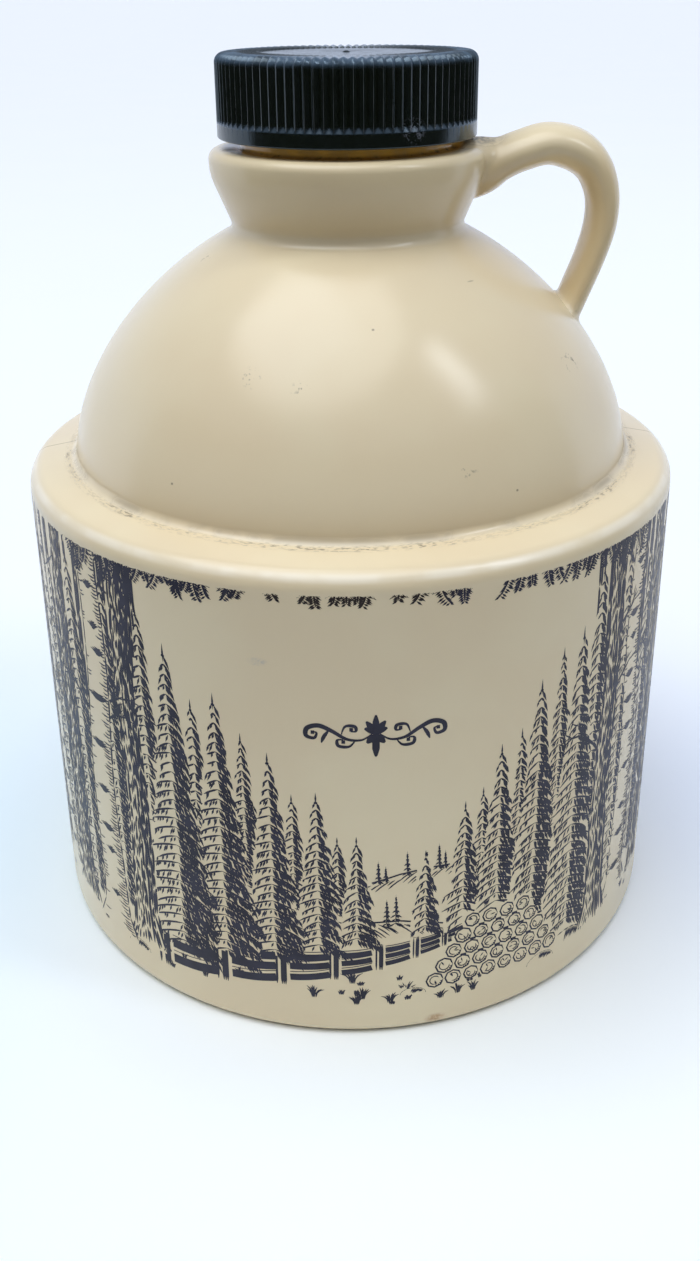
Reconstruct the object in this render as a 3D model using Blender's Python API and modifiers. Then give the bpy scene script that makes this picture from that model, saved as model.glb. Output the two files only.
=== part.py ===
"""A one-quart maple syrup jug with its screw cap, in metres, standing on z = 0.

The jug is one blow-moulded piece: a drum with a domed shoulder, a flared collar, a neck
and a strap handle on the +X side. It is shut, so it is solid. The cap is the other piece.
"""
import math

import bmesh
import bpy
from mathutils import Vector

MM = 0.001

# The drum
BODY_RADIUS = 57.5 * MM
BASE_ROUND = 2.2 * MM
SHOULDER_HEIGHT = 85.0 * MM
SHOULDER_ROUND = 3.2 * MM
RING_RADIUS = 46.0 * MM
PUSH_UP_RADIUS = 41.0 * MM
PUSH_UP = 1.6 * MM

# The dome, a quarter of a full oval, which rises from a narrow ledge
DOME_RADIUS = 49.0 * MM
DOME_FOOT = 86.6 * MM
DOME_RISE = 43.2 * MM
DOME_FULLNESS = 1.72
DOME_STEPS = 12
FOOT_ROUND = 1.2 * MM

# The collar that flares out above the waist, and the neck inside the cap
WAIST_RADIUS = 19.4 * MM
WAIST_ROUND = 1.6 * MM
COLLAR_RADIUS = 23.2 * MM
FLARE_TOP = 133.5 * MM
FLARE_ROUND = 9.0 * MM
COLLAR_TOP = 137.8 * MM
COLLAR_ROUND = 1.6 * MM
NECK_RADIUS = 17.6 * MM
NECK_ROUND = 0.8 * MM

# The cap
CAP_RADIUS = 21.55 * MM
CAP_BOTTOM = 139.2 * MM
CAP_TOP = 152.5 * MM
CAP_ROUND = 1.6 * MM
CAP_LIP = 0.3 * MM
CAP_ROOF = 1.5 * MM
BORE_RADIUS = 18.1 * MM
SKIRT_BORE_RADIUS = 19.6 * MM
SKIRT_BORE_DEPTH = 2.5 * MM
DISC_RADIUS = 14.6 * MM
DISC_DEPTH = 0.3 * MM
BAND_HEIGHT = 2.4 * MM
RIBS = 90
RIB_DEPTH = 0.5 * MM
RIB_TOP_DEPTH = 0.25 * MM
RIB_RUN_OUT = 0.8 * MM

# Clear space kept between the two pieces
GAP = 0.3 * MM
NECK_TOP = CAP_TOP - CAP_ROOF - GAP

# The handle's middle line in the XZ plane: distance from the axis, height, thickness, width
HANDLE_STATIONS = [
    (15.0, 132.6, 9.2, 9.5),
    (19.0, 132.7, 9.4, 10.5),
    (22.5, 133.2, 9.0, 11.3),
    (25.6, 134.5, 7.8, 11.5),
    (29.0, 135.9, 7.1, 11.5),
    (33.8, 137.05, 6.9, 11.5),
    (38.5, 136.2, 7.0, 11.4),
    (41.8, 133.4, 6.3, 11.2),
    (43.6, 128.8, 5.6, 11.0),
    (43.6, 123.8, 5.2, 10.8),
    (42.2, 118.4, 4.9, 10.6),
    (40.0, 112.6, 4.8, 10.5),
    (38.0, 107.6, 4.8, 10.5),
    (36.0, 102.6, 4.8, 10.5),
]
HANDLE_RINGS_PER_SPAN = 2
HANDLE_SIDES = 14
HANDLE_SQUARENESS = 2.4

TURNED_SEGMENTS = 60
RIB_COLUMNS = 3
POINT_MERGE = 0.00001
SHARP_ANGLE = math.radians(35)

CREAM = (0.78, 0.68, 0.47)
BLACK = (0.012, 0.013, 0.015)


def clear_scene():
    for old in list(bpy.data.objects):
        bpy.data.objects.remove(old, do_unlink=True)


def make_collection(name, helper=False):
    collection = bpy.data.collections.new(name)
    collection.hide_render = helper
    bpy.context.scene.collection.children.link(collection)
    return collection


def make_material(name, colour, roughness):
    material = bpy.data.materials.new(name)
    material.use_nodes = True
    shader = material.node_tree.nodes["Principled BSDF"]
    shader.inputs["Base Color"].default_value = (*colour, 1.0)
    shader.inputs["Roughness"].default_value = roughness
    shader.inputs["Metallic"].default_value = 0.0
    material.diffuse_color = (*colour, 1.0)
    return material


def make_object(name, mesh, collection, material=None):
    made = bpy.data.objects.new(name, mesh)
    collection.objects.link(made)
    if material:
        mesh.materials.append(material)
    return made


def as_helper(made):
    made.hide_render = True
    made.display_type = "WIRE"
    return made


def rounded(corners):
    """The outline through corners of (radius, height, rounding), each rounding a short arc."""
    points = []
    for i, (r, z, rounding) in enumerate(corners):
        corner = Vector((r, z))
        if rounding == 0:
            points.append(corner)
            continue
        before = (Vector(corners[i - 1][:2]) - corner).normalized()
        after = (Vector(corners[i + 1][:2]) - corner).normalized()
        half = before.angle(after) / 2
        centre = corner + (before + after).normalized() * rounding / math.sin(half)
        reach = rounding / math.tan(half)
        start = corner + before * reach - centre
        end = corner + after * reach - centre
        turn = start.angle(end)
        steps = max(2, round(math.degrees(turn) / 24))
        for k in range(steps + 1):
            share = k / steps
            points.append(
                centre
                + start * (math.sin((1 - share) * turn) / math.sin(turn))
                + end * (math.sin(share * turn) / math.sin(turn))
            )
    return points


def turned(name, outline, collection, material=None, steps=TURNED_SEGMENTS):
    """A solid of revolution. The outline runs from the axis at the top to the axis at the bottom."""
    mesh = bpy.data.meshes.new(name)
    verts = [(r, 0.0, z) for r, z in outline]
    edges = [(i, i + 1) for i in range(len(verts) - 1)]
    mesh.from_pydata(verts, edges, [])
    made = make_object(name, mesh, collection, material)
    screw = made.modifiers.new("Turn", "SCREW")
    screw.axis = "Z"
    screw.steps = steps
    screw.render_steps = steps
    screw.use_merge_vertices = True
    screw.merge_threshold = POINT_MERGE
    return made


def evaluated_mesh(made):
    bpy.context.view_layer.update()
    graph = bpy.context.evaluated_depsgraph_get()
    return bpy.data.meshes.new_from_object(made.evaluated_get(graph))


def add_boolean(made, other, operation):
    boolean = made.modifiers.new(other.name, "BOOLEAN")
    boolean.operation = operation
    boolean.solver = "EXACT"
    boolean.object = other


def dome_corners():
    """Points down the dome's side, from just under the waist to just above its foot."""
    power = 2 / DOME_FULLNESS
    waist_turn = math.acos((WAIST_RADIUS / DOME_RADIUS) ** (1 / power))
    corners = []
    for i in range(DOME_STEPS):
        turn = waist_turn * (1 - i / DOME_STEPS)
        r = DOME_RADIUS * math.cos(turn) ** power
        z = DOME_FOOT + DOME_RISE * math.sin(turn) ** power
        corners.append((r, z, WAIST_ROUND if i == 0 else 0))
    return corners


def jug_outline():
    above = [
        (0, NECK_TOP, 0),
        (NECK_RADIUS, NECK_TOP, NECK_ROUND),
        (NECK_RADIUS, COLLAR_TOP, NECK_ROUND),
        (COLLAR_RADIUS, COLLAR_TOP, COLLAR_ROUND),
        (COLLAR_RADIUS, FLARE_TOP, FLARE_ROUND),
    ]
    below = [
        (DOME_RADIUS, DOME_FOOT, FOOT_ROUND),
        (BODY_RADIUS, SHOULDER_HEIGHT, SHOULDER_ROUND),
        (BODY_RADIUS, 0, BASE_ROUND),
        (RING_RADIUS, 0, 0),
        (PUSH_UP_RADIUS, PUSH_UP, 0),
        (0, PUSH_UP, 0),
    ]
    return rounded(above + dome_corners() + below)


def smooth_between(stations, per_span):
    """Stations on one smooth curve through the given ones, with per_span steps between each two."""
    values = [Vector((s * MM, z * MM, t * MM, w * MM)) for s, z, t, w in stations]
    points = []
    for i in range(len(values) - 1):
        a = values[max(i - 1, 0)]
        b = values[i]
        c = values[i + 1]
        d = values[min(i + 2, len(values) - 1)]
        for k in range(per_span):
            t = k / per_span
            points.append(
                b
                + (c - a) * (t / 2)
                + (a - b * 2.5 + c * 2 - d * 0.5) * t ** 2
                + (b * 1.5 - a / 2 - c * 1.5 + d / 2) * t ** 3
            )
    points.append(values[-1])
    return points


def handle_ring(mesh, station, along):
    """One oval section of the handle, square to its middle line."""
    reach, height, thickness, width = station
    outward = Vector((along.z, 0, -along.x))
    ring = []
    for k in range(HANDLE_SIDES):
        turn = 2 * math.pi * k / HANDLE_SIDES
        across = math.copysign(abs(math.cos(turn)) ** (2 / HANDLE_SQUARENESS), math.cos(turn))
        side = math.copysign(abs(math.sin(turn)) ** (2 / HANDLE_SQUARENESS), math.sin(turn))
        place = Vector((reach, side * width / 2, height)) + outward * (across * thickness / 2)
        ring.append(mesh.verts.new(place))
    return ring


def make_handle(collection):
    """The strap handle: oval sections of changing size along a curve, ending inside the jug."""
    stations = smooth_between(HANDLE_STATIONS, HANDLE_RINGS_PER_SPAN)
    mesh = bmesh.new()
    rings = []
    for i, station in enumerate(stations):
        before = stations[max(i - 1, 0)]
        after = stations[min(i + 1, len(stations) - 1)]
        along = Vector((after[0] - before[0], 0, after[1] - before[1])).normalized()
        rings.append(handle_ring(mesh, station, along))
    for first, second in zip(rings, rings[1:]):
        for k in range(HANDLE_SIDES):
            n = (k + 1) % HANDLE_SIDES
            mesh.faces.new((first[k], first[n], second[n], second[k]))
    mesh.faces.new(rings[0])
    mesh.faces.new(rings[-1])
    bmesh.ops.recalc_face_normals(mesh, faces=mesh.faces)
    shape = bpy.data.meshes.new("handle_strap")
    mesh.to_mesh(shape)
    mesh.free()
    return as_helper(make_object("handle_strap", shape, collection))


def make_jug(collection, helpers, material):
    jug = turned("jug", jug_outline(), collection, material)
    add_boolean(jug, make_handle(helpers), "UNION")
    return jug


def cap_outline():
    """The cap as a plain turned blank, with the rings that the ribs start and end on."""
    band_top = CAP_BOTTOM + BAND_HEIGHT
    return rounded([
        (0, CAP_TOP - DISC_DEPTH, 0),
        (DISC_RADIUS - DISC_DEPTH, CAP_TOP - DISC_DEPTH, 0),
        (DISC_RADIUS, CAP_TOP, 0),
        (CAP_RADIUS, CAP_TOP, CAP_ROUND),
        (CAP_RADIUS, band_top + RIB_RUN_OUT, 0),
        (CAP_RADIUS, band_top, 0),
        (CAP_RADIUS, CAP_BOTTOM + CAP_LIP, 0),
        (CAP_RADIUS - CAP_LIP, CAP_BOTTOM, 0),
        (0, CAP_BOTTOM, 0),
    ])


def cut_ribs(mesh):
    """Pushes the middle column of each rib's pitch inwards, which leaves a V groove there."""
    columns = RIBS * RIB_COLUMNS
    full_from = CAP_BOTTOM + BAND_HEIGHT + RIB_RUN_OUT / 2
    for vert in mesh.verts:
        r = math.hypot(vert.co.x, vert.co.y)
        column = round(math.atan2(vert.co.y, vert.co.x) / (2 * math.pi) * columns)
        if column % RIB_COLUMNS or r < DISC_RADIUS - POINT_MERGE or vert.co.z < full_from:
            continue
        out = max(r - (CAP_RADIUS - CAP_ROUND), 0)
        up = max(vert.co.z - (CAP_TOP - CAP_ROUND), 0)
        lean = Vector((out, up)).normalized()
        depth = RIB_TOP_DEPTH + (RIB_DEPTH - RIB_TOP_DEPTH) * lean.x
        scale = (r - depth * lean.x) / r
        vert.co = Vector((vert.co.x * scale, vert.co.y * scale, vert.co.z - depth * lean.y))


def bore_outline():
    skirt_top = CAP_BOTTOM + SKIRT_BORE_DEPTH
    below = CAP_BOTTOM - 5 * MM
    return rounded([
        (0, CAP_TOP - CAP_ROOF, 0),
        (BORE_RADIUS, CAP_TOP - CAP_ROOF, 0),
        (BORE_RADIUS, skirt_top, 0),
        (SKIRT_BORE_RADIUS, skirt_top - (SKIRT_BORE_RADIUS - BORE_RADIUS) / 2, 0),
        (SKIRT_BORE_RADIUS, below, 0),
        (0, below, 0),
    ])


def make_cap(collection, helpers, material):
    blank = turned("cap_blank", cap_outline(), helpers, steps=RIBS * RIB_COLUMNS)
    mesh = bmesh.new()
    ribbed = evaluated_mesh(blank)
    mesh.from_mesh(ribbed)
    cut_ribs(mesh)
    mesh.to_mesh(ribbed)
    mesh.free()
    bpy.data.objects.remove(blank)
    ribbed.name = "cap"
    cap = make_object("cap", ribbed, collection, material)
    bore = as_helper(turned("cap_bore", bore_outline(), helpers))
    add_boolean(cap, bore, "DIFFERENCE")
    ribbed.set_sharp_from_angle(angle=SHARP_ANGLE)
    return cap


def main():
    clear_scene()
    parts = make_collection("maple_syrup_jug")
    helpers = make_collection("cutters", helper=True)
    make_jug(parts, helpers, make_material("cream_plastic", CREAM, 0.38))
    make_cap(parts, helpers, make_material("black_plastic", BLACK, 0.3))


main()
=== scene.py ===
# %% [markdown]
# # A one-quart maple syrup jug
# The real jug is one blow-moulded piece of cream plastic: a straight drum, a narrow ledge,
# a domed shoulder, a flared collar and a small strap handle. A black ribbed cap is screwed
# on its neck, and a woodland picture in dark blue ink is printed round the drum.
# Everything below is in metres with Z up. The jug stands on z = 0, its axis is the Z axis,
# its handle points to +X and the printed front faces -Y.

# %% [markdown]
# ## The shared frame
# Every part of the library has a plain CAD model first, which fixes its sizes and says which
# pieces move together. Loading the frame puts that model in the scene. The pieces made below
# are dressed over it: each rides on the jug's one body, named root, and stands for a CAD node.

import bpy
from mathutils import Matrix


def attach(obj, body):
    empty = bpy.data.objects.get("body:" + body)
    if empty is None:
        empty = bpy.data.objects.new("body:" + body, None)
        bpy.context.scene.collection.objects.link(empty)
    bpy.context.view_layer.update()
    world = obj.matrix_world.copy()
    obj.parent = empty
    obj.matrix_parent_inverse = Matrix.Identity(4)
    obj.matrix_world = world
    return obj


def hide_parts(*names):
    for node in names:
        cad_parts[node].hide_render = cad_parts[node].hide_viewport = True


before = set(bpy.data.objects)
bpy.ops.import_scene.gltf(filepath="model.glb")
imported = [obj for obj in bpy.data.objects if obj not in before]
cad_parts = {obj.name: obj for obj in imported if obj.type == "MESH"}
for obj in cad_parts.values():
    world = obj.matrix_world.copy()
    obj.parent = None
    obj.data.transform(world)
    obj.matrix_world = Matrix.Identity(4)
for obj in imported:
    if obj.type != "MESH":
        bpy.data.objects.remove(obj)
print("the frame is loaded")

# %% [markdown]
# ## Tools
# The jug is made with Blender's own operators, and bmesh picks faces by their place.

# %% Tools used below
import math
import random

import bmesh
import bpy
from mathutils import Matrix, Vector
from mathutils.bvhtree import BVHTree

MM = 0.001
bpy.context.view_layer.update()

# %% [markdown]
# ## The camera
# The photograph was taken from close by, a little above the cap, with a wide lens. That is
# why the drum narrows towards its foot. A camera is placed by where it stands and which way
# it looks: here it stands 216 mm from the jug's axis, 2.7 degrees round to the left, and
# looks down by 22.8 degrees. A small shift of the lens frames the jug as the photo does.

# %% Camera
CAMERA_DISTANCE = 216.07 * MM
CAMERA_HEIGHT = 162.51 * MM
CAMERA_ROUND = math.radians(2.7)
CAMERA_DOWN = math.radians(22.8)
CAMERA_ROLL = math.radians(-0.58)
LENS_MM = 35.635
SHIFT_X = -0.0007
SHIFT_Y = -0.0973

bpy.ops.object.select_all(action="DESELECT")
bpy.ops.object.camera_add()
camera = bpy.context.object
camera.name = "photo_camera"
stand = Vector((
    -math.sin(CAMERA_ROUND) * CAMERA_DISTANCE,
    -math.cos(CAMERA_ROUND) * CAMERA_DISTANCE,
    CAMERA_HEIGHT,
))
camera.matrix_world = (
    Matrix.Translation(stand)
    @ Matrix.Rotation(-CAMERA_ROUND, 4, "Z")
    @ Matrix.Rotation(math.radians(90) - CAMERA_DOWN, 4, "X")
    @ Matrix.Rotation(CAMERA_ROLL, 4, "Z")
)
camera.data.lens = LENS_MM
camera.data.shift_x = SHIFT_X
camera.data.shift_y = SHIFT_Y
camera.data.clip_start = 5 * MM
bpy.context.scene.camera = camera
print("camera stands at", [round(v, 4) for v in camera.location])

# %% [markdown]
# ## Shader maths as Python
# A finish is a network of nodes. Adding each Math node by hand is slow to read, so a small
# class wraps one output of a node: writing `1 - dirt * 0.5` then adds the nodes by itself.

# %% Wire
class Wire:
    """One output of a node. Sums on wires add Math nodes to the same finish."""

    def __init__(self, finish, socket):
        self.finish = finish
        self.socket = socket

    def math(self, operation, first, second=0.0):
        return self.finish.node("ShaderNodeMath", {"operation": operation}, {0: first, 1: second})

    def __add__(self, other):
        return self.math("ADD", self, other)

    __radd__ = __add__

    def __sub__(self, other):
        return self.math("SUBTRACT", self, other)

    def __rsub__(self, other):
        return self.math("SUBTRACT", other, self)

    def __mul__(self, other):
        return self.math("MULTIPLY", self, other)

    __rmul__ = __mul__

    def __truediv__(self, other):
        return self.math("DIVIDE", self, other)

    def __pow__(self, other):
        return self.math("POWER", self, other)

    def __abs__(self):
        return self.math("ABSOLUTE", self)

    def most(self, other):
        return self.math("MAXIMUM", self, other)

    def ramp(self, start, end, low=0.0, high=1.0):
        """Runs smoothly from low, where this is start, to high, where it is end."""
        return self.finish.node(
            "ShaderNodeMapRange",
            {"interpolation_type": "SMOOTHSTEP"},
            {"Value": self, "From Min": start, "From Max": end, "To Min": low, "To Max": high},
        )


# %% [markdown]
# ### The network
# Every other kind of node comes from one method, which sets the node up and links its inputs.
# The patterns used below are built on it: noise, a soft oval round a place, and a blend of two
# colours.

# %% Network
class Network:
    """The nodes of a material or a world."""

    def __init__(self, tree, coordinates):
        self.tree = tree
        self.place = self.node("ShaderNodeTexCoord", output=coordinates)

    def link(self, value, socket):
        if isinstance(value, Wire):
            self.tree.links.new(value.socket, socket)
        else:
            socket.default_value = value

    def node(self, kind, settings=None, sockets=None, output=0):
        """Adds a node: its settings first, then the values or wires of its inputs."""
        made = self.tree.nodes.new(kind)
        for key, value in (settings or {}).items():
            setattr(made, key, value)
        for key, value in (sockets or {}).items():
            self.link(value, made.inputs[key])
        return Wire(self, made.outputs[output])

    def noise(self, size, detail=2.0, at=None, distortion=0.0):
        """Cloudy noise from 0 to 1, with lumps of about the given size."""
        sockets = {
            "Vector": at or self.place,
            "Scale": 1 / size,
            "Detail": detail,
            "Distortion": distortion,
        }
        return self.node("ShaderNodeTexNoise", {}, sockets)

    def axes(self):
        """The place's x, y and z as three wires."""
        split = self.tree.nodes.new("ShaderNodeSeparateXYZ")
        self.link(self.place, split.inputs[0])
        return [Wire(self, split.outputs[i]) for i in range(3)]

    def vector(self, x, y, z):
        """A place made of three wires."""
        return self.node("ShaderNodeCombineXYZ", {}, {0: x, 1: y, 2: z})

    def spot(self, centre, size, soft=0.6):
        """1 inside an oval round centre with the given half sizes, and 0 outside it."""
        moved = self.node(
            "ShaderNodeVectorMath", {"operation": "SUBTRACT"}, {0: self.place, 1: centre}
        )
        scaled = self.node(
            "ShaderNodeVectorMath", {"operation": "DIVIDE"}, {0: moved, 1: size}
        )
        away = self.node(
            "ShaderNodeVectorMath", {"operation": "LENGTH"}, {0: scaled}, output="Value"
        )
        return away.ramp(1.0, 1.0 - soft)

    def blend(self, share, first, second):
        """The first colour where share is 0, the second where it is 1."""
        sockets = {0: share, 6: first, 7: second}
        return self.node("ShaderNodeMix", {"data_type": "RGBA"}, sockets, output=2)


# %% [markdown]
# ### The finish
# A finish is a network round Blender's Principled shader. What is the same all over goes
# straight into the shader's own socket, and what varies over the surface is linked to it.

# %% Finish
class Finish(Network):
    """A material whose Principled shader gets its numbers and its wires from here."""

    def __init__(self, name, **constants):
        self.material = bpy.data.materials.new(name)
        self.material.use_nodes = True
        super().__init__(self.material.node_tree, "Object")
        self.shader = self.tree.nodes["Principled BSDF"]
        for socket, value in constants.items():
            self.shader.inputs[socket.replace("_", " ")].default_value = value

    def set(self, **wires):
        for socket, wire in wires.items():
            self.link(wire, self.shader.inputs[socket.replace("_", " ")])

    def relief(self, *layers):
        """Bumps on top of each other: pairs of a height from 0 to 1 and its depth in metres."""
        normal = None
        for height, depth in layers:
            sockets = {"Height": height, "Distance": depth, "Strength": 1.0}
            if normal:
                sockets["Normal"] = normal
            normal = self.node("ShaderNodeBump", {}, sockets)
        self.set(Normal=normal)


# %% [markdown]
# ## The stage
# The photo shows a white sheet under soft daylight, faintly blue, with a dark room behind the
# photographer. A large plane makes the sheet. Soft ovals on it are painted shade and light:
# bluer beside the jug, as paper is that the open sky lights and the sun doesn't, and paler in
# front of it. The world is brighter near the horizon than overhead, as a room with windows is.

# %% Floor and world
FLOOR_HALF = 40.0
SHEET = (0.85, 0.88, 0.92, 1)
SHEET_CLOUDY = (0.87, 0.89, 0.92, 1)
# Painted shade and light on the sheet: the middle and half sizes of a soft oval in metres, and its
# colour.
SHEET_PAINTED_SHADE_AND_LIGHT = (
    ((-0.10, -0.02, 0), (0.09, 0.16, 1), (0.73, 0.87, 0.96, 1)),
    ((0.09, -0.02, 0), (0.07, 0.11, 1), (0.79, 0.86, 1.0, 1)),
    ((0.02, -0.10, 0), (0.24, 0.12, 1), (0.93, 0.98, 1.0, 1)),
)
WORLD_COLOUR = (0.70, 0.80, 1.0, 1)
HORIZON_STRENGTH = 1.12
ZENITH_STRENGTH = 0.52

bpy.context.scene.view_settings.view_transform = "Standard"

bpy.ops.object.select_all(action="DESELECT")
bpy.ops.mesh.primitive_plane_add(size=2 * FLOOR_HALF)
floor = bpy.context.object
floor.name = "floor_sheet"
paper = Finish("white_sheet", Roughness=0.7)
sheet = paper.blend(paper.noise(120 * MM, 3), SHEET, SHEET_CLOUDY)
# Soft ovals of painted shade beside the jug and of painted light in front of it.
for centre, size, painted_tone in SHEET_PAINTED_SHADE_AND_LIGHT:
    sheet = paper.blend(paper.spot(centre, size, 0.9), sheet, painted_tone)
paper.set(Base_Color=sheet)
floor.data.materials.append(paper.material)

world = bpy.data.worlds.new("pale_daylight")
world.use_nodes = True
daylight = Network(world.node_tree, "Generated")
steepness = abs(daylight.axes()[2])
brightness = steepness.ramp(0.05, 0.55, HORIZON_STRENGTH, ZENITH_STRENGTH)
glow = world.node_tree.nodes["Background"]
daylight.link(WORLD_COLOUR, glow.inputs["Color"])
daylight.link(brightness, glow.inputs["Strength"])
bpy.context.scene.world = world
print("a sheet", 2 * FLOOR_HALF, "m wide under a pale sky")

# %% [markdown]
# ### The lamps
# A wide, weak sun gives the jug its top light and its faint shadow. A softbox and a window are
# two lamps whose reflections are the two highlights on the dome. A highlight could be painted,
# but it would stay on the plastic when the camera moves, so it has to come from a lamp.

# %% Lamps
SUN_STRENGTH = 2.0
SUN_SPREAD = math.radians(58)
SUN_PLACE = (-0.20, -0.16, 1.0)
SUN_COLOUR = (1.0, 0.975, 0.93)
LIT_POINT = Vector((0, 0, 0.1))
# Each lamp: its name, place, width and height in metres, power in watts, and colour.
SOFT_LAMPS = (
    ("softbox", (-0.30, -0.10, 1.0), 0.60, 0.56, 1.2, (0.66, 0.83, 1.0)),
    ("window", (0.67, -0.32, 0.96), 0.16, 0.46, 2.0, (0.90, 0.95, 1.0)),
)


def add_lamp(name, kind, place, target, strength, colour):
    """A lamp at place that faces target."""
    bpy.ops.object.light_add(type=kind, location=place)
    lamp = bpy.context.object
    lamp.name = name
    lamp.data.energy = strength
    lamp.data.color = colour
    lamp.rotation_euler = (target - Vector(place)).to_track_quat("-Z", "Y").to_euler()
    return lamp.data


sun = add_lamp("overhead", "SUN", SUN_PLACE, Vector((0, 0, 0)), SUN_STRENGTH, SUN_COLOUR)
sun.angle = SUN_SPREAD
for name, place, width, height, power, colour in SOFT_LAMPS:
    lamp = add_lamp(name, "AREA", place, LIT_POINT, power, colour)
    lamp.shape = "RECTANGLE"
    lamp.size = width
    lamp.size_y = height
print("one sun and", len(SOFT_LAMPS), "soft lamps")

# %% [markdown]
# ### The dark screen
# A curved screen in front stands in for the dark room: without it, the black cap would mirror
# a white wall and look grey. Half a plane is spun round the jug, which makes an even arc. The
# camera doesn't see it.

# %% Dark screen
SCREEN_RADIUS = 0.36
SCREEN_HEIGHT = 0.30
SCREEN_REACH = math.radians(92)
SCREEN_STEPS = 32


def curved_screen(name, radius, height, reach):
    """An upright arc round the jug's front, spun from one edge."""
    bpy.ops.object.select_all(action="DESELECT")
    bpy.ops.mesh.primitive_plane_add(size=height, rotation=(math.radians(90), 0, 0))
    screen = bpy.context.object
    screen.name = name
    bpy.ops.object.transform_apply(location=True, rotation=True, scale=True)
    bpy.ops.object.mode_set(mode="EDIT")
    mesh = bmesh.from_edit_mesh(screen.data)
    bmesh.ops.delete(mesh, geom=[v for v in mesh.verts if v.co.x > 0], context="VERTS")
    for vert in mesh.verts:
        vert.co = (0, -radius, vert.co.z + height / 2)
    bmesh.ops.rotate(
        mesh, verts=mesh.verts, cent=(0, 0, 0), matrix=Matrix.Rotation(-reach, 3, "Z")
    )
    bmesh.update_edit_mesh(screen.data)
    bpy.ops.mesh.select_all(action="SELECT")
    bpy.ops.mesh.spin(steps=SCREEN_STEPS, angle=-2 * reach, center=(0, 0, 0), axis=(0, 0, 1))
    bpy.ops.object.mode_set(mode="OBJECT")
    return screen


screen = curved_screen("dark_screen", SCREEN_RADIUS, SCREEN_HEIGHT, SCREEN_REACH)
felt = Finish("dark_felt", Roughness=0.9)
felt.set(Base_Color=felt.blend(felt.noise(5 * MM), (0.01, 0.01, 0.01, 1), (0.02, 0.02, 0.02, 1)))
screen.data.materials.append(felt.material)
screen.visible_camera = False
print("the screen has", len(screen.data.polygons), "panels")

# %% [markdown]
# ## The jug's outline
# The jug is round, so half of its section says nearly all. The sizes are the CAD part's own,
# with three small differences: the wall stands back a hair to leave room for the ink, the
# collar's top lies 0.35 mm lower, and the dome's foot has a finer rounding. The dome is a
# quarter of a full oval. Each corner is listed as (radius, height, rounding), and one function
# turns the roundings into short arcs.

# %% Sizes and the outline
INK_ROOM = 0.08 * MM
BODY_RADIUS = 57.5 * MM - INK_ROOM
BASE_ROUND = 2.2 * MM
SHOULDER_HEIGHT = 85.0 * MM
SHOULDER_ROUND = 3.2 * MM
RING_RADIUS = 46.0 * MM
PUSH_UP_RADIUS = 41.0 * MM
PUSH_UP = 1.6 * MM
DOME_RADIUS = 49.0 * MM
DOME_FOOT = 86.6 * MM
DOME_RISE = 43.2 * MM
DOME_FULLNESS = 1.72
DOME_STEPS = 56
FOOT_ROUND = 1.5 * MM
WAIST_RADIUS = 19.4 * MM
WAIST_ROUND = 1.6 * MM
COLLAR_RADIUS = 23.2 * MM
FLARE_TOP = 133.5 * MM
FLARE_ROUND = 9.0 * MM
COLLAR_TOP = 137.45 * MM
COLLAR_ROUND = 1.6 * MM
NECK_RADIUS = 17.6 * MM
NECK_TOP = 150.7 * MM
NECK_ROUND = 0.8 * MM
ARC_STEP = math.radians(7)


def rounded(corners):
    """The outline through corners of (radius, height, rounding), each rounding a short arc."""
    points = []
    for i, (r, z, rounding) in enumerate(corners):
        corner = Vector((r, z))
        if rounding == 0:
            points.append(corner)
            continue
        before = (Vector(corners[i - 1][:2]) - corner).normalized()
        after = (Vector(corners[i + 1][:2]) - corner).normalized()
        half = before.angle(after) / 2
        centre = corner + (before + after).normalized() * rounding / math.sin(half)
        reach = rounding / math.tan(half)
        start = corner + before * reach - centre
        end = corner + after * reach - centre
        turn = start.angle(end)
        steps = max(2, round(turn / ARC_STEP))
        for k in range(steps + 1):
            share = k / steps
            first = math.sin((1 - share) * turn) / math.sin(turn)
            second = math.sin(share * turn) / math.sin(turn)
            points.append(centre + start * first + end * second)
    return points


def dome_corners():
    """Points down the dome's side, from just under the waist to just above its foot."""
    power = 2 / DOME_FULLNESS
    waist_turn = math.acos((WAIST_RADIUS / DOME_RADIUS) ** (1 / power))
    corners = []
    for i in range(DOME_STEPS):
        turn = waist_turn * (1 - i / DOME_STEPS)
        r = DOME_RADIUS * math.cos(turn) ** power
        z = DOME_FOOT + DOME_RISE * math.sin(turn) ** power
        corners.append((r, z, WAIST_ROUND if i == 0 else 0))
    return corners


jug_outline = rounded(
    [
        (0, NECK_TOP, 0),
        (NECK_RADIUS, NECK_TOP, NECK_ROUND),
        (NECK_RADIUS, COLLAR_TOP, NECK_ROUND),
        (COLLAR_RADIUS, COLLAR_TOP, COLLAR_ROUND),
        (COLLAR_RADIUS, FLARE_TOP, FLARE_ROUND),
    ]
    + dome_corners()
    + [
        (DOME_RADIUS, DOME_FOOT, FOOT_ROUND),
        (BODY_RADIUS, SHOULDER_HEIGHT, SHOULDER_ROUND),
        (BODY_RADIUS, 0, BASE_ROUND),
        (RING_RADIUS, 0, 0),
        (PUSH_UP_RADIUS, PUSH_UP, 0),
        (0, PUSH_UP, 0),
    ]
)
print("jug outline:", len(jug_outline), "points")

# %% [markdown]
# ## Turning the body
# A round body needs only its half section. One vertex is extruded from point to point along
# the outline, and a Screw modifier without any rise turns that line once round the Z axis.
# The Spin operator gives the same shape but takes far longer with this many steps. Doubles
# are merged afterwards, which closes both poles and the seam.

# %% Turn the body
BODY_SEGMENTS = 360
MERGE = 0.001 * MM
SMOOTH_UNDER = math.radians(40)


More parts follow.
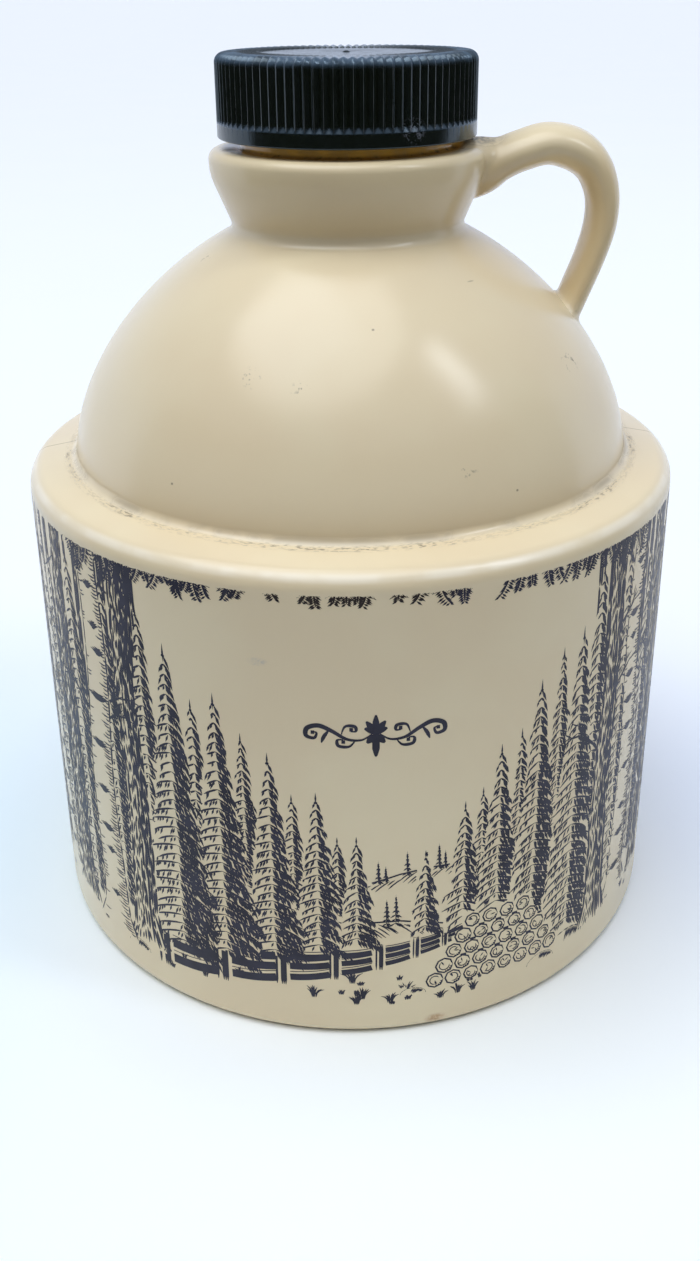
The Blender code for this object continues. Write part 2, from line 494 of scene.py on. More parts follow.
def new_point(name, place):
    """A mesh of one vertex, in edit mode and selected."""
    bpy.ops.object.select_all(action="DESELECT")
    bpy.ops.mesh.primitive_plane_add(size=MM)
    piece = bpy.context.object
    piece.name = name
    piece.data.name = name
    bpy.ops.object.mode_set(mode="EDIT")
    bpy.ops.mesh.merge(type="CENTER")
    bpy.ops.transform.translate(value=place)
    return piece


def finish_mesh(piece):
    """Merges doubles, turns every face outwards and leaves edit mode with smooth shading."""
    bpy.ops.mesh.select_all(action="SELECT")
    bpy.ops.mesh.remove_doubles(threshold=MERGE)
    bpy.ops.mesh.normals_make_consistent(inside=False)
    bpy.ops.object.mode_set(mode="OBJECT")
    bpy.ops.object.shade_smooth_by_angle(angle=SMOOTH_UNDER)
    print(piece.name, "has", len(piece.data.polygons), "faces")
    return piece


def turned(name, outline, segments):
    """Extrudes a vertex along the outline in the XZ plane and turns the line round Z."""
    piece = new_point(name, (outline[0].x, 0, outline[0].y))
    for here, there in zip(outline, outline[1:]):
        step = there - here
        bpy.ops.mesh.extrude_vertices_move(
            TRANSFORM_OT_translate={"value": (step.x, 0, step.y)}
        )
    bpy.ops.object.mode_set(mode="OBJECT")
    screw = piece.modifiers.new("Turn", "SCREW")
    screw.axis = "Z"
    screw.steps = segments
    screw.render_steps = segments
    screw.use_merge_vertices = True
    screw.merge_threshold = MERGE
    bpy.ops.object.modifier_apply(modifier="Turn")
    bpy.ops.object.mode_set(mode="EDIT")
    return finish_mesh(piece)


jug_body = turned("jug_body", jug_outline, BODY_SEGMENTS)
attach(jug_body, "root")
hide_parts("jug")

# %% [markdown]
# ## The strap handle
# The handle is moulded in one with the jug: a rounded strap that leaves the collar, arches
# over and comes down on the dome. It could be a curve with a bevel, but its thickness and
# width change along the way. So one oval ring is extruded along nearly the same stations as
# in the CAD part, and each new ring is set to the size and slant of its place. A fine ridge
# runs along the outside and the inside of the strap, where the two halves of the mould met.

# %% Stations of the handle
# Each station: its reach from the axis and its height, then the strap's thickness and width,
# all in mm.
HANDLE_STATIONS = [
    (15.0, 132.6, 9.2, 9.5),
    (19.0, 132.7, 9.4, 10.5),
    (22.5, 133.3, 8.5, 11.3),
    (25.6, 134.7, 7.0, 11.5),
    (29.0, 136.1, 6.7, 11.5),
    (33.8, 137.3, 6.9, 11.5),
    (38.5, 136.2, 7.0, 11.4),
    (41.8, 133.4, 6.3, 11.2),
    (43.6, 128.8, 5.6, 11.0),
    (43.6, 123.8, 5.2, 10.8),
    (42.2, 118.4, 4.9, 10.6),
    (40.0, 112.6, 4.8, 10.5),
    (38.0, 107.6, 4.8, 10.5),
    (36.0, 102.6, 4.8, 10.5),
]
RINGS_PER_SPAN = 16
HANDLE_SIDES = 48


def smooth_line(points, per_span):
    """Points on one smooth curve that runs through the given ones."""
    line = []
    for i in range(len(points) - 1):
        a = points[max(i - 1, 0)]
        b = points[i]
        c = points[i + 1]
        d = points[min(i + 2, len(points) - 1)]
        for k in range(per_span):
            t = k / per_span
            line.append(tuple(
                b[n] + (c[n] - a[n]) * t / 2
                + (a[n] - 2.5 * b[n] + 2 * c[n] - 0.5 * d[n]) * t ** 2
                + (1.5 * b[n] - 0.5 * a[n] - 1.5 * c[n] + 0.5 * d[n]) * t ** 3
                for n in range(len(b))
            ))
    return line + [points[-1]]


stations = smooth_line([[value * MM for value in row] for row in HANDLE_STATIONS], RINGS_PER_SPAN)
print("the handle has", len(stations), "stations")

# %% [markdown]
# ### One ring and its fillets
# Real plastic has no sharp inner corner where the strap meets the body. Each point of the
# strap that comes close to the body is therefore pushed outwards along a quarter circle,
# which gives a wide web under the collar and a small rounding everywhere else.

# %% Shape of one ring, with its fillets
SEAM_RISE = 0.05 * MM
FOOT_FILLET = 0.9 * MM
# Fillets at the collar: above the strap, beside it and under it.
COLLAR_FILLETS = (0.15 * MM, 0.7 * MM, 4.0 * MM)
HANDLE_MIDDLE = 125.0 * MM


def fillet_push(start, outward, radius, body):
    """How far a point moves outwards so that the strap meets the body in a quarter circle."""
    push = 0.0
    for _ in range(12):
        near, normal, _, _ = body.find_nearest(start + outward * push)
        gap = (start + outward * push - near).dot(normal)
        gap = min(max(gap, 0.0), radius)
        wanted = radius - math.sqrt(max(radius ** 2 - (radius - gap) ** 2, 0.0))
        push += (wanted - push) * 0.5
    return push


def handle_ring(station, along, body):
    """One section of the strap, square to its middle line, with its fillets."""
    reach, height, thickness, width = station
    centre = Vector((reach, 0, height))
    outward = Vector((along.z, 0, -along.x))
    top, beside, under = COLLAR_FILLETS
    ring = []
    for k in range(HANDLE_SIDES):
        turn = 2 * math.pi * k / HANDLE_SIDES
        lean = math.cos(turn)
        seam = SEAM_RISE if k % (HANDLE_SIDES // 2) == 0 else 0.0
        place = centre + outward * lean * (thickness / 2 + seam)
        place.y = math.sin(turn) * width / 2
        radius = FOOT_FILLET
        if height > HANDLE_MIDDLE:
            radius = beside + ((top if lean > 0 else under) - beside) * abs(lean)
        direction = (place - centre).normalized()
        ring.append(place + direction * fillet_push(place, direction, radius, body))
    return ring


# %% [markdown]
# ### Lofting the handle
# The first ring is a disc. It is extruded once for every other ring, and the corners of the new
# disc are put where that ring is. So the tube is closed at both ends, which lie inside the jug.

# %% Loft the handle
def loft(name, rings):
    """A closed tube: a disc on the first ring, extruded once to each of the others."""
    bpy.ops.object.select_all(action="DESELECT")
    bpy.ops.mesh.primitive_circle_add(vertices=len(rings[0]), radius=MM, fill_type="NGON")
    piece = bpy.context.object
    piece.name = name
    piece.data.name = name
    bpy.ops.object.mode_set(mode="EDIT")
    for i, ring in enumerate(rings):
        if i > 0:
            bpy.ops.mesh.extrude_region_move()
        mesh = bmesh.from_edit_mesh(piece.data)
        disc = next(face for face in mesh.faces if face.select)
        for loop, point in zip(disc.loops, ring):
            loop.vert.co = point
        bmesh.update_edit_mesh(piece.data)
    return finish_mesh(piece)


body_tree = BVHTree.FromObject(jug_body, bpy.context.evaluated_depsgraph_get())
handle_rings = []
for i, station in enumerate(stations):
    before = stations[max(i - 1, 0)]
    after = stations[min(i + 1, len(stations) - 1)]
    along = Vector((after[0] - before[0], 0, after[1] - before[1])).normalized()
    handle_rings.append(handle_ring(station, along, body_tree))
handle = loft("handle_strap", handle_rings)
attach(handle, "root")

# %% [markdown]
# ## The screw cap
# The cap is a black moulding with a shallow disc on top, which has a small pip in its middle
# where the plastic entered the mould. The blank is turned like the jug, with eight columns of
# vertices for each of its 90 ribs.

# %% Cap
CAP_RADIUS = 21.55 * MM
CAP_BOTTOM = 139.2 * MM
CAP_TOP = 152.5 * MM
CAP_ROUND = 1.6 * MM
CAP_LIP = 0.3 * MM
CAP_ROOF = 1.5 * MM
BORE_RADIUS = 18.1 * MM
SKIRT_BORE_RADIUS = 19.6 * MM
SKIRT_BORE_DEPTH = 2.5 * MM
DISC_RADIUS = 14.6 * MM
DISC_DEPTH = 0.3 * MM
BAND_TOP = CAP_BOTTOM + 2.4 * MM
RIBS = 90
RIB_COLUMNS = 8
RIB_DEPTH = 0.5 * MM
RIB_TOP_DEPTH = 0.3 * MM
RIB_RUN_OUT = 1.0 * MM
GROOVE_SHARE = 0.43
RIB_SMOOTH_UNDER = math.radians(25)
PIP_RADIUS = 0.55 * MM
PIP_RISE = 0.22 * MM


def even_corners(start, end, steps):
    """Corners at even steps between two, both left out."""
    a = Vector(start)
    b = Vector(end)
    return [(*(a + (b - a) * (i / steps)), 0) for i in range(1, steps)]


cap_outline = rounded(
    [
        (0, CAP_TOP - DISC_DEPTH + PIP_RISE * 0.6, 0),
        (PIP_RADIUS * 0.45, CAP_TOP - DISC_DEPTH + PIP_RISE, 0),
        (PIP_RADIUS, CAP_TOP - DISC_DEPTH + PIP_RISE * 0.5, 0),
        (PIP_RADIUS * 1.1, CAP_TOP - DISC_DEPTH - 0.08 * MM, 0),
        (PIP_RADIUS * 1.9, CAP_TOP - DISC_DEPTH, 0),
        (DISC_RADIUS - DISC_DEPTH, CAP_TOP - DISC_DEPTH, 0),
        (DISC_RADIUS, CAP_TOP - 0.02 * MM, 0),
    ]
    + even_corners((DISC_RADIUS, CAP_TOP), (CAP_RADIUS - CAP_ROUND, CAP_TOP), 5)
    + [(CAP_RADIUS, CAP_TOP, CAP_ROUND)]
    + even_corners((CAP_RADIUS, CAP_TOP - CAP_ROUND), (CAP_RADIUS, BAND_TOP + RIB_RUN_OUT * 1.1), 4)
    + even_corners((CAP_RADIUS, BAND_TOP + RIB_RUN_OUT * 1.1), (CAP_RADIUS, BAND_TOP), 12)
    + [
        (CAP_RADIUS, BAND_TOP, 0),
        (CAP_RADIUS, CAP_BOTTOM, CAP_LIP),
        (SKIRT_BORE_RADIUS, CAP_BOTTOM, 0),
        (SKIRT_BORE_RADIUS, CAP_BOTTOM + SKIRT_BORE_DEPTH - 0.75 * MM, 0),
        (BORE_RADIUS, CAP_BOTTOM + SKIRT_BORE_DEPTH, 0),
        (BORE_RADIUS, CAP_TOP - CAP_ROOF, 0),
        (0, CAP_TOP - CAP_ROOF, 0),
    ]
)
cap = turned("screw_cap", cap_outline, RIBS * RIB_COLUMNS)


# %% [markdown]
# ### The ribs
# The ribs run up the cap's side, wrap over its rounded edge and end as teeth round the disc. At
# the bottom the grooves run out into a plain band, in slopes that look like small pale
# triangles. A rib could be modelled once and copied round, but the copies would have to be
# joined to the blank. Pushing the groove columns of the blank in keeps one closed skin.

# %% Cut the ribs
def groove_depth(column, r, z):
    """How deep the grooves are at a column of the blank, at radius r and height z."""
    phase = column % RIB_COLUMNS
    beside = min(phase, RIB_COLUMNS - phase) / RIB_COLUMNS
    share = max(0.0, 1 - beside / GROOVE_SHARE)
    out = min(max((r - (CAP_RADIUS - CAP_ROUND)) / CAP_ROUND, 0), 1)
    full = RIB_TOP_DEPTH + (RIB_DEPTH - RIB_TOP_DEPTH) * out
    run_out = max(0.0, (z - BAND_TOP) / RIB_RUN_OUT) * RIB_DEPTH
    return min(full * share, run_out)


def cut_ribs(piece):
    """Pushes the groove columns in, and keeps how near each vertex is to a rib's crest."""
    crest = piece.data.attributes.new("crest", "FLOAT", "POINT")
    columns = RIBS * RIB_COLUMNS
    for vert in piece.data.vertices:
        r = math.hypot(vert.co.x, vert.co.y)
        outside = r > CAP_RADIUS - CAP_ROUND - MM or vert.co.z > CAP_TOP - CAP_ROUND
        if not outside or r < DISC_RADIUS - MERGE or vert.co.z < BAND_TOP:
            continue
        column = round(math.atan2(vert.co.y, vert.co.x) / (2 * math.pi) * columns)
        phase = column % RIB_COLUMNS
        crest.data[vert.index].value = max(0.0, 1 - abs(phase - RIB_COLUMNS / 2))
        depth = groove_depth(column, r, vert.co.z)
        out = max(r - (CAP_RADIUS - CAP_ROUND), 0)
        up = max(vert.co.z - (CAP_TOP - CAP_ROUND), 0)
        lean = Vector((out, up)).normalized()
        scale = (r - depth * lean.x) / r
        vert.co = Vector((vert.co.x * scale, vert.co.y * scale, vert.co.z - depth * lean.y))


cut_ribs(cap)
bpy.ops.object.shade_smooth_by_angle(angle=RIB_SMOOTH_UNDER)
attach(cap, "root")
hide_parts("cap")
print("ribs cut:", RIBS)

# %% [markdown]
# ## The printed picture
# A picture in dark blue ink runs round the drum, screen-printed straight on the plastic, in
# the manner of an old wood engraving: no greys, only lines and solid shapes. The picture drawn
# here is a plain winter wood of its own: tall spruces and pale birches at both sides, a
# valley with a rail fence between them, and an open sky with a scroll ornament in it.
#
# An image texture could carry it, but every line here is real geometry, drawn by functions on
# the unrolled wall: u is the way round in millimetres from the middle of the front, z the
# height. The nearest things are drawn first. A grid of small cells remembers where they
# stand, and a later, farther line is cut where a cell is taken.
#
# Three marks of the pen draw everything: a needle, a stroke and a curve. The last number each
# gets is the width of the pen in millimetres. Chance varies the marks, from a fixed seed, so
# the picture comes out the same each time.

# %% Pen and paper
PRINT_TOP = 83.2
PRINT_FOOT = 5.0
HALF_ROUND = math.pi * 57.5
CELL = 0.2
STEP = 1.1
PRINT_SEED = 11


class Engraving:
    """Ink lines on the unrolled wall, as points in (u, z) and faces between them."""

    def __init__(self, seed):
        self.random = random.Random(seed)
        self.points = []
        self.faces = []
        self.columns = int(2 * HALF_ROUND / CELL) + 1
        self.rows = int(PRINT_TOP / CELL) + 1
        self.taken = bytearray(self.columns * self.rows)

    def vary(self, low, high):
        return self.random.uniform(low, high)

    def cell(self, u, z):
        column = int((u + HALF_ROUND) / CELL) % self.columns
        row = min(max(int(z / CELL), 0), self.rows - 1)
        return row * self.columns + column

    def free(self, u, z):
        return PRINT_FOOT < z < PRINT_TOP and not self.taken[self.cell(u, z)]

    def cover(self, left, right, z):
        """Takes one thin row of cells, so that nothing farther is drawn there."""
        steps = int((right - left) / CELL) + 1
        for i in range(steps + 1):
            u = left + (right - left) * i / steps
            self.taken[self.cell(u, z)] = 1
            self.taken[self.cell(u, z + CELL / 2)] = 1

    def cover_shape(self, foot, rows, edges):
        """Takes a shape row by row, where edges gives its left and right side at a height."""
        for k in range(int(rows)):
            z = foot + k * CELL
            self.cover(*edges(z), z)

    def needle(self, start, end, width):
        """A short line, thick in the middle: one four-sided face."""
        (a, b), (c, d) = start, end
        if not (self.free((a + c) / 2, (b + d) / 2) and self.free(a, b) and self.free(c, d)):
            return
        long = math.hypot(c - a, d - b) or 1
        across = (-(d - b) / long * width / 2, (c - a) / long * width / 2)
        middle = ((a + c) / 2, (b + d) / 2)
        first = len(self.points)
        self.points += [
            start,
            (middle[0] - across[0], middle[1] - across[1]),
            end,
            (middle[0] + across[0], middle[1] + across[1]),
        ]
        self.faces.append((first, first + 1, first + 2, first + 3))

    def stroke(self, line, width, ends=0.3):
        """A pen line through the points. Its ends thin out over the given share of it."""
        line = self.resampled(line)
        last = len(line) - 1
        pairs = []
        for i, (u, z) in enumerate(line):
            before = line[max(i - 1, 0)]
            after = line[min(i + 1, last)]
            du, dz = after[0] - before[0], after[1] - before[1]
            long = math.hypot(du, dz) or 1
            share = i / last
            thin = min(1, (0.25 + min(share, 1 - share) / ends)) if ends else 1
            half = width * thin / 2
            pairs.append(((u + dz / long * half, z - du / long * half),
                          (u - dz / long * half, z + du / long * half)))
        open_at = None
        for i in range(last + 1):
            here = self.free(*line[i])
            if here:
                number = len(self.points)
                self.points += pairs[i]
                if open_at is not None:
                    self.faces.append((open_at, number, number + 1, open_at + 1))
                open_at = number
            else:
                open_at = None

    def flow(self, points, width, ends=0.5):
        """A pen line on one smooth curve through the points."""
        self.stroke(smooth_line(points, 8), width, ends)

    def resampled(self, line):
        """The same line with points no farther apart than one step."""
        points = [line[0]]
        for (a, b), (c, d) in zip(line, line[1:]):
            steps = max(1, math.ceil(math.hypot(c - a, d - b) / STEP))
            points += [(a + (c - a) * k / steps, b + (d - b) * k / steps)
                       for k in range(1, steps + 1)]
        return points

    def curve(self, start, bend, end, width, steps=6, ends=0.3):
        """A pen line that bows towards a third point."""
        line = []
        for k in range(steps + 1):
            t = k / steps
            line.append(tuple(
                (1 - t) ** 2 * start[i] + 2 * t * (1 - t) * bend[i] + t * t * end[i]
                for i in (0, 1)
            ))
        self.stroke(line, width, ends)


# %% [markdown]
# ### Spruces
# A spruce is a pile of tiers. In each tier a few boughs droop to both sides, and short
# needles hang from them, more of them on the right, which lies in shade.

# %% Spruce
def spruce(pen, u, foot, height, spread, fine=1.0):
    """A spruce with its tip at foot + height, and boughs up to spread wide at each side."""
    tiers = max(5, int(height / (1.7 * fine)))
    for tier in range(tiers):
        down = (tier + 0.6) / tiers
        z = foot + height * (1 - down)
        reach = spread * down ** 0.85 * pen.vary(0.72, 1.08)
        for side in (-1, 1):
            boughs = 1 if side < 0 else 2
            for _ in range(boughs):
                tip = u + side * reach * pen.vary(0.75, 1.05)
                drop = reach * pen.vary(0.25, 0.45)
                low = z - drop
                pen.curve((u, z + 0.4), ((u + tip) / 2, z - drop * 0.1), (tip, low), 0.34 * fine,
                          steps=4)
                count = int(abs(tip - u) / (0.55 * fine)) + 1
                for k in range(count):
                    if side < 0 and pen.random.random() < 0.35:
                        continue
                    t = (k + pen.random.random()) / count
                    x = u + (tip - u) * t
                    y = z - drop * t ** 1.6
                    hang = pen.vary(0.8, 2.0) * fine * (1.25 if side > 0 else 0.85)
                    wide = (0.50 if side > 0 else 0.40) * fine
                    pen.needle((x, y + 0.15), (x + side * hang * 0.45, y - hang), wide)
    pen.needle((u, foot + height + 1.2 * fine), (u, foot + height * 0.96), 0.35 * fine)

    def edges(z):
        half = spread * (1 - (z - foot) / height) ** 0.85 * 0.74
        return u - half, u + half

    pen.cover_shape(foot + height * 0.02, height * 0.97 / CELL, edges)


# %% [markdown]
# ### Birches
# A birch is paper left bare between two broken outlines, with dark scars and curved dashes on
# its shaded side. One function gives any trunk's two edges at a height.

# %% Trunk edges and birch
def trunk_edges(u, foot, top, width, lean, wobble):
    """Left and right edge of a trunk at a height, with a flare at its foot."""
    def at(z):
        up = (z - foot) / (top - foot)
        middle = u + lean * up + wobble * math.sin(z * 0.13 + u)
        half = width / 2 * (1 - 0.30 * up) + width * 0.30 * math.exp(-(z - foot) / 2.2)
        return middle - half, middle + half
    return at


def cover_trunk(pen, at, foot, top):
    """Takes the trunk's cells, apart from its two outlines."""
    def inside(z):
        left, right = at(z)
        return left + CELL, right - CELL

    pen.cover_shape(foot, (top - foot) / CELL + 1, inside)


def birch(pen, u, foot, top, width, lean=0.0):
    at = trunk_edges(u, foot, top, width, lean, 0.5)
    z = foot
    while z < top:
        step = pen.vary(2.0, 5.0)
        up = min(z + step, top)
        pen.stroke([(at(z)[0], z), (at(up)[0], up)], 0.26)
        pen.stroke([(at(z)[1], z), (at(up)[1], up)], 0.42, ends=0.15)
        z = up + pen.vary(0.0, 0.5)
    z = foot + 0.5
    while z < top:
        left, right = at(z)
        wide = right - left
        dash = wide * pen.vary(0.12, 0.42)
        pen.curve((right - 0.1, z), (right - dash / 2, z - 0.25), (right - dash, z + 0.1), 0.3,
                  steps=3)
        if pen.random.random() < 0.30:
            dash = wide * pen.vary(0.10, 0.25)
            pen.curve((left + 0.1, z), (left + dash / 2, z - 0.2), (left + dash, z), 0.26, steps=3)
        z += pen.vary(0.45, 0.85)
    z = foot + pen.vary(4, 8)
    while z < top - 1:
        left, right = at(z)
        wide = right - left
        start = left + wide * pen.vary(0.0, 0.3)
        end = right - wide * pen.vary(0.0, 0.25)
        for k in range(5):
            rise = (k - 2) * 0.26
            cut = abs(k - 2) * wide * 0.10
            pen.curve((start + cut, z + rise), ((start + end) / 2, z + rise - 0.5),
                      (end - cut, z + rise), 0.34, steps=4)
        z += pen.vary(4.5, 9.5)
    cover_trunk(pen, at, foot, top)
    return at


# %% [markdown]
# ### Pine trunks and branches
# An old pine trunk is drawn by upright broken lines that crowd together towards the shade. A
# bare branch forks into two smaller ones, which fork again: a function that calls itself.

# %% Pine trunk and bare branch
def pine_trunk(pen, u, foot, top, width, lean=0.0):
    at = trunk_edges(u, foot, top, width, lean, 0.35)
    lines = max(4, int(width / 0.42))
    for k in range(lines + 1):
        across = k / lines
        dark = 0.25 + 0.75 * min(1, max(0, (across - 0.30) / 0.35))
        if across < 0.12:
            dark = 0.75
        z = foot + pen.vary(-0.8, 0.5)
        while z < top:
            piece = pen.vary(1.2, 5.0) * (0.45 + dark)
            gap = pen.vary(0.2, 1.6) * (1.25 - dark)
            up = min(z + piece, top)
            a = at(z)
            b = at(up)
            sway = pen.vary(-0.25, 0.25)
            low = (a[0] + (a[1] - a[0]) * across, z)
            high = (b[0] + (b[1] - b[0]) * across + sway, up)
            middle = ((low[0] + high[0]) / 2 + pen.vary(-0.3, 0.3), (z + up) / 2)
            pen.curve(low, middle, high, 0.26 + 0.26 * dark, steps=3)
            z = up + gap
    cover_trunk(pen, at, foot, top)
    return at


def bare_branch(pen, start, angle, length, width):
    """A branch that forks twice into twigs."""
    end = (start[0] + math.sin(angle) * length, start[1] + math.cos(angle) * length)
    bend = ((start[0] + end[0]) / 2 + pen.vary(-0.6, 0.6), (start[1] + end[1]) / 2)
    pen.curve(start, bend, end, width, steps=4, ends=0.5)
    if length > 2.2:
        for turn in (-0.5, 0.45):
            share = pen.vary(0.45, 0.95)
            fork = (start[0] + (end[0] - start[0]) * share, start[1] + (end[1] - start[1]) * share)
            bare_branch(pen, fork, angle + turn + pen.vary(-0.15, 0.15), length * 0.58, width * 0.7)


# %% [markdown]
# ### Hills
# A far hill is a crest line with slanting hatches under it and a row of tiny firs on top.

# %% Ridge and little fir
def ridge(pen, start, end, height, hatch, width=0.3, slope=1.0):
    """A crest line with hatches under it, where height is a function of u."""
    line = [(start + (end - start) * k / 80, height(start + (end - start) * k / 80))
            for k in range(81)]
    pen.stroke(line, width, ends=0.05)
    u = start
    while u < end:
        z = height(u) - pen.vary(0.3, 1.2)
        long = pen.vary(0.4, 1.0) * hatch
        pen.curve((u, z), (u + long * 0.5 * slope, z - long * 0.25),
                  (u + long * slope, z - long * 0.8), 0.24, steps=3)
        u += pen.vary(0.5, 1.6)


def little_fir(pen, u, foot, height):
    tiers = max(4, int(height / 0.75))
    for tier in range(tiers):
        down = (tier + 0.5) / tiers
        z = foot + height * (1 - down)
        reach = height * 0.24 * down * pen.vary(0.7, 1.15)
        pen.needle((u + 0.1, z + 0.25), (u - reach, z - reach * 0.5), 0.32)
        pen.needle((u - 0.1, z + 0.25), (u + reach, z - reach * 0.5), 0.44)
        pen.needle((u, z + 0.2), (u + reach * 0.5, z - 0.7), 0.40)
    pen.needle((u, foot + height + 0.5), (u, foot - 0.3), 0.30)


# %% [markdown]
# ### The rail fence
# The posts are listed with their size. They get smaller towards the middle, which is what makes
# the valley deep. Each rail is a thin upper line and a thick shaded one below it.

# %% Fence
def fence(pen, posts, top_rail):
    """Split rails between posts. Each post is (u, ground height, size)."""
    for u, ground, size in posts:
        half = 0.10 * size
        tall = top_rail * size
        for share in (-1, 0.1, 0.5, 0.9):
            x = u + half * share
            rise = tall * pen.vary(0.95, 1.03)
            pen.stroke([(x, ground - 0.08 * size), (x + 0.05, ground + rise)],
                       0.035 * size + 0.12, ends=0.1)
        pen.stroke([(u - half, ground + tall), (u + half, ground + tall * 0.97)], 0.3)
        pen.cover_shape(ground, tall / CELL, lambda z: (u - half, u + half))
    for (a, b, s), (c, d, t) in zip(posts, posts[1:]):
        for share in (0.30, 0.62, 0.90):
            low = (a, b + share * top_rail * s)
            high = (c, d + share * top_rail * t)
            sag = ((a + c) / 2, (low[1] + high[1]) / 2 - 0.08 * s)
            thick = 0.16 * (s + t) / 2
            pen.curve(low, sag, high, 0.16, steps=6, ends=0.05)
            pen.curve((a, low[1] - thick), (sag[0], sag[1] - thick), (c, high[1] - thick),
                      0.24 * (s + t) / 2 ** 0.5 * 0.5 + 0.12, steps=6, ends=0.05)


# %% [markdown]
# ### Tufts and stones
# Tufts of grass and a few stones give the picture its ragged lower edge.

# %% Tuft and stone
def tuft(pen, u, z, size):
    blades = int(5 + size * 1.5)
    for k in range(blades):
        lean = (k - (blades - 1) / 2) / blades * 1.6 + pen.vary(-0.15, 0.15)
        long = size * pen.vary(0.6, 1.0)
        tip = (u + math.sin(lean) * long, z + math.cos(lean) * long)
        pen.curve((u + lean * 0.5, z), (u + lean * 0.4, z + long * 0.6), tip, 0.26, steps=3)


def around(u, z, turn, reach, flat=1.0):
    """The point at an angle and a distance from (u, z)."""
    return u + math.cos(turn) * reach, z + math.sin(turn) * reach * flat


def stone(pen, u, z, size):
    """A boulder: a broken round outline, with hatches on its shaded side."""
    for k in range(9):
        turn = math.pi * k / 9
        after = math.pi * (k + 0.85) / 9
        pen.stroke([around(u, z, turn, size, 0.62), around(u, z, after, size, 0.62)], 0.3)
    for k in range(int(size * 4)):
        x = u + size * (0.05 + 0.9 * k / (size * 4))
        high = z + math.sqrt(max(0.0, 1 - ((x - u) / size) ** 2)) * size * 0.62
        pen.needle((x, high - 0.1), (x - 0.5, high - (high - z) * pen.vary(0.6, 1.0)), 0.34)

    def edges(at):
        half = size * math.sqrt(max(0.0, 1 - ((at - z) / (size * 0.62)) ** 2))
        return u - half, u + half

    pen.cover_shape(z, size * 0.62 / CELL, edges)


# %% [markdown]
# ### Twigs and distant trunks
# Hanging fir twigs give the picture its ragged upper edge. Trunks deep in the wood are only a
# few upright lines.

# %% Hanging twig and far trunk
def hanging_twig(pen, u, long, lean):
    """A fir twig that hangs in from above the picture."""
    end = (u + lean * long, PRINT_TOP - long)
    pen.curve((u, PRINT_TOP - 0.1), (u + lean * long * 0.2, PRINT_TOP - long * 0.5), end, 0.3)
    count = int(long / 0.42) + 2
    for k in range(count):
        t = (k + 0.5) / count
        x = u + lean * long * t * t
        y = PRINT_TOP - 0.1 - long * t
        fan = pen.vary(0.9, 1.5) * (1.1 - 0.5 * t)
        for side in (-1, 1):
            pen.needle((x, y), (x + side * fan, y - fan * pen.vary(0.5, 0.9)), 0.36)


def far_trunk(pen, u, foot, top, width):
    """A trunk deep in the wood: two or three upright lines, broken here and there."""
    lines = max(2, round(width / 0.45))
    for k in range(lines):
        x = u + (k - (lines - 1) / 2) * 0.42
        z = foot + pen.vary(-0.6, 0.6)
        while z < top:
            up = min(z + pen.vary(4, 14), top)
            pen.curve((x, z), (x + pen.vary(-0.2, 0.2), (z + up) / 2), (x, up), 0.46, steps=3,
                      ends=0.1)
            z = up + pen.vary(0.2, 0.9)
    pen.cover_shape(foot, (top - foot) / CELL, lambda z: (u - width / 2, u + width / 2))


# %% [markdown]
# ### The log pile
# Logs lie in rows, each row in the hollows of the one below. The gaps between them are filled
# with ink afterwards: the cells of the logs are taken by then, so the ink stays off them.

# %% Log end and log pile
def log_end(pen, u, z, radius):
    """A sawn log seen end on: bark, growth rings and a few cracks."""
    bark = (0.93, 0, 2 * math.pi, 0.30)
    growth_ring = (0.55, pen.vary(0, 6), 4.2, 0.20)
    for share, start, reach, width in (bark, growth_ring):
        pen.stroke([around(u, z, start + reach * k / 8, radius * share) for k in range(9)], width,
                   ends=0.1)
    for _ in range(2):
        turn = pen.vary(0, 2 * math.pi)
        pen.needle((u, z), around(u, z, turn, radius * 0.7), 0.26)
    for k in range(-3, 1):
        turn = -0.3 + k * 0.35
        pen.needle(around(u, z, turn, radius * 0.62), around(u, z, turn, radius * 0.95), 0.34)

    def edges(at):
        half = math.sqrt(max(0.0, radius ** 2 - (at - z) ** 2))
        return u - half, u + half

    pen.cover_shape(z - radius, 2 * radius / CELL + 1, edges)


def log_pile(pen, u, ground, columns, rows, radius):
    """Logs stacked in rows, each row in the hollows of the one below."""
    for row in range(rows):
        for column in range(columns - row):
            size = radius * pen.vary(0.85, 1.0)
            x = u + (column + 0.5 * row) * 2 * radius
            log_end(pen, x, ground + radius + row * radius * 1.72, size)
    z = ground + 0.5 * radius
    while z < ground + radius * (0.9 + 1.72 * (rows - 1)):
        row = (z - ground - 0.5 * radius) / (radius * 1.72)
        pen.stroke([(u + (row - 0.4) * radius, z), (u + (2 * columns - row - 1.6) * radius, z)],
                   0.46, ends=0)
        z += 0.36


# %% [markdown]
# ### The scroll
# A traditional flourish stands in the open sky: leaves in the middle and a vine with curls at
# each side. One side is drawn, and the other is the same with its sign turned round.

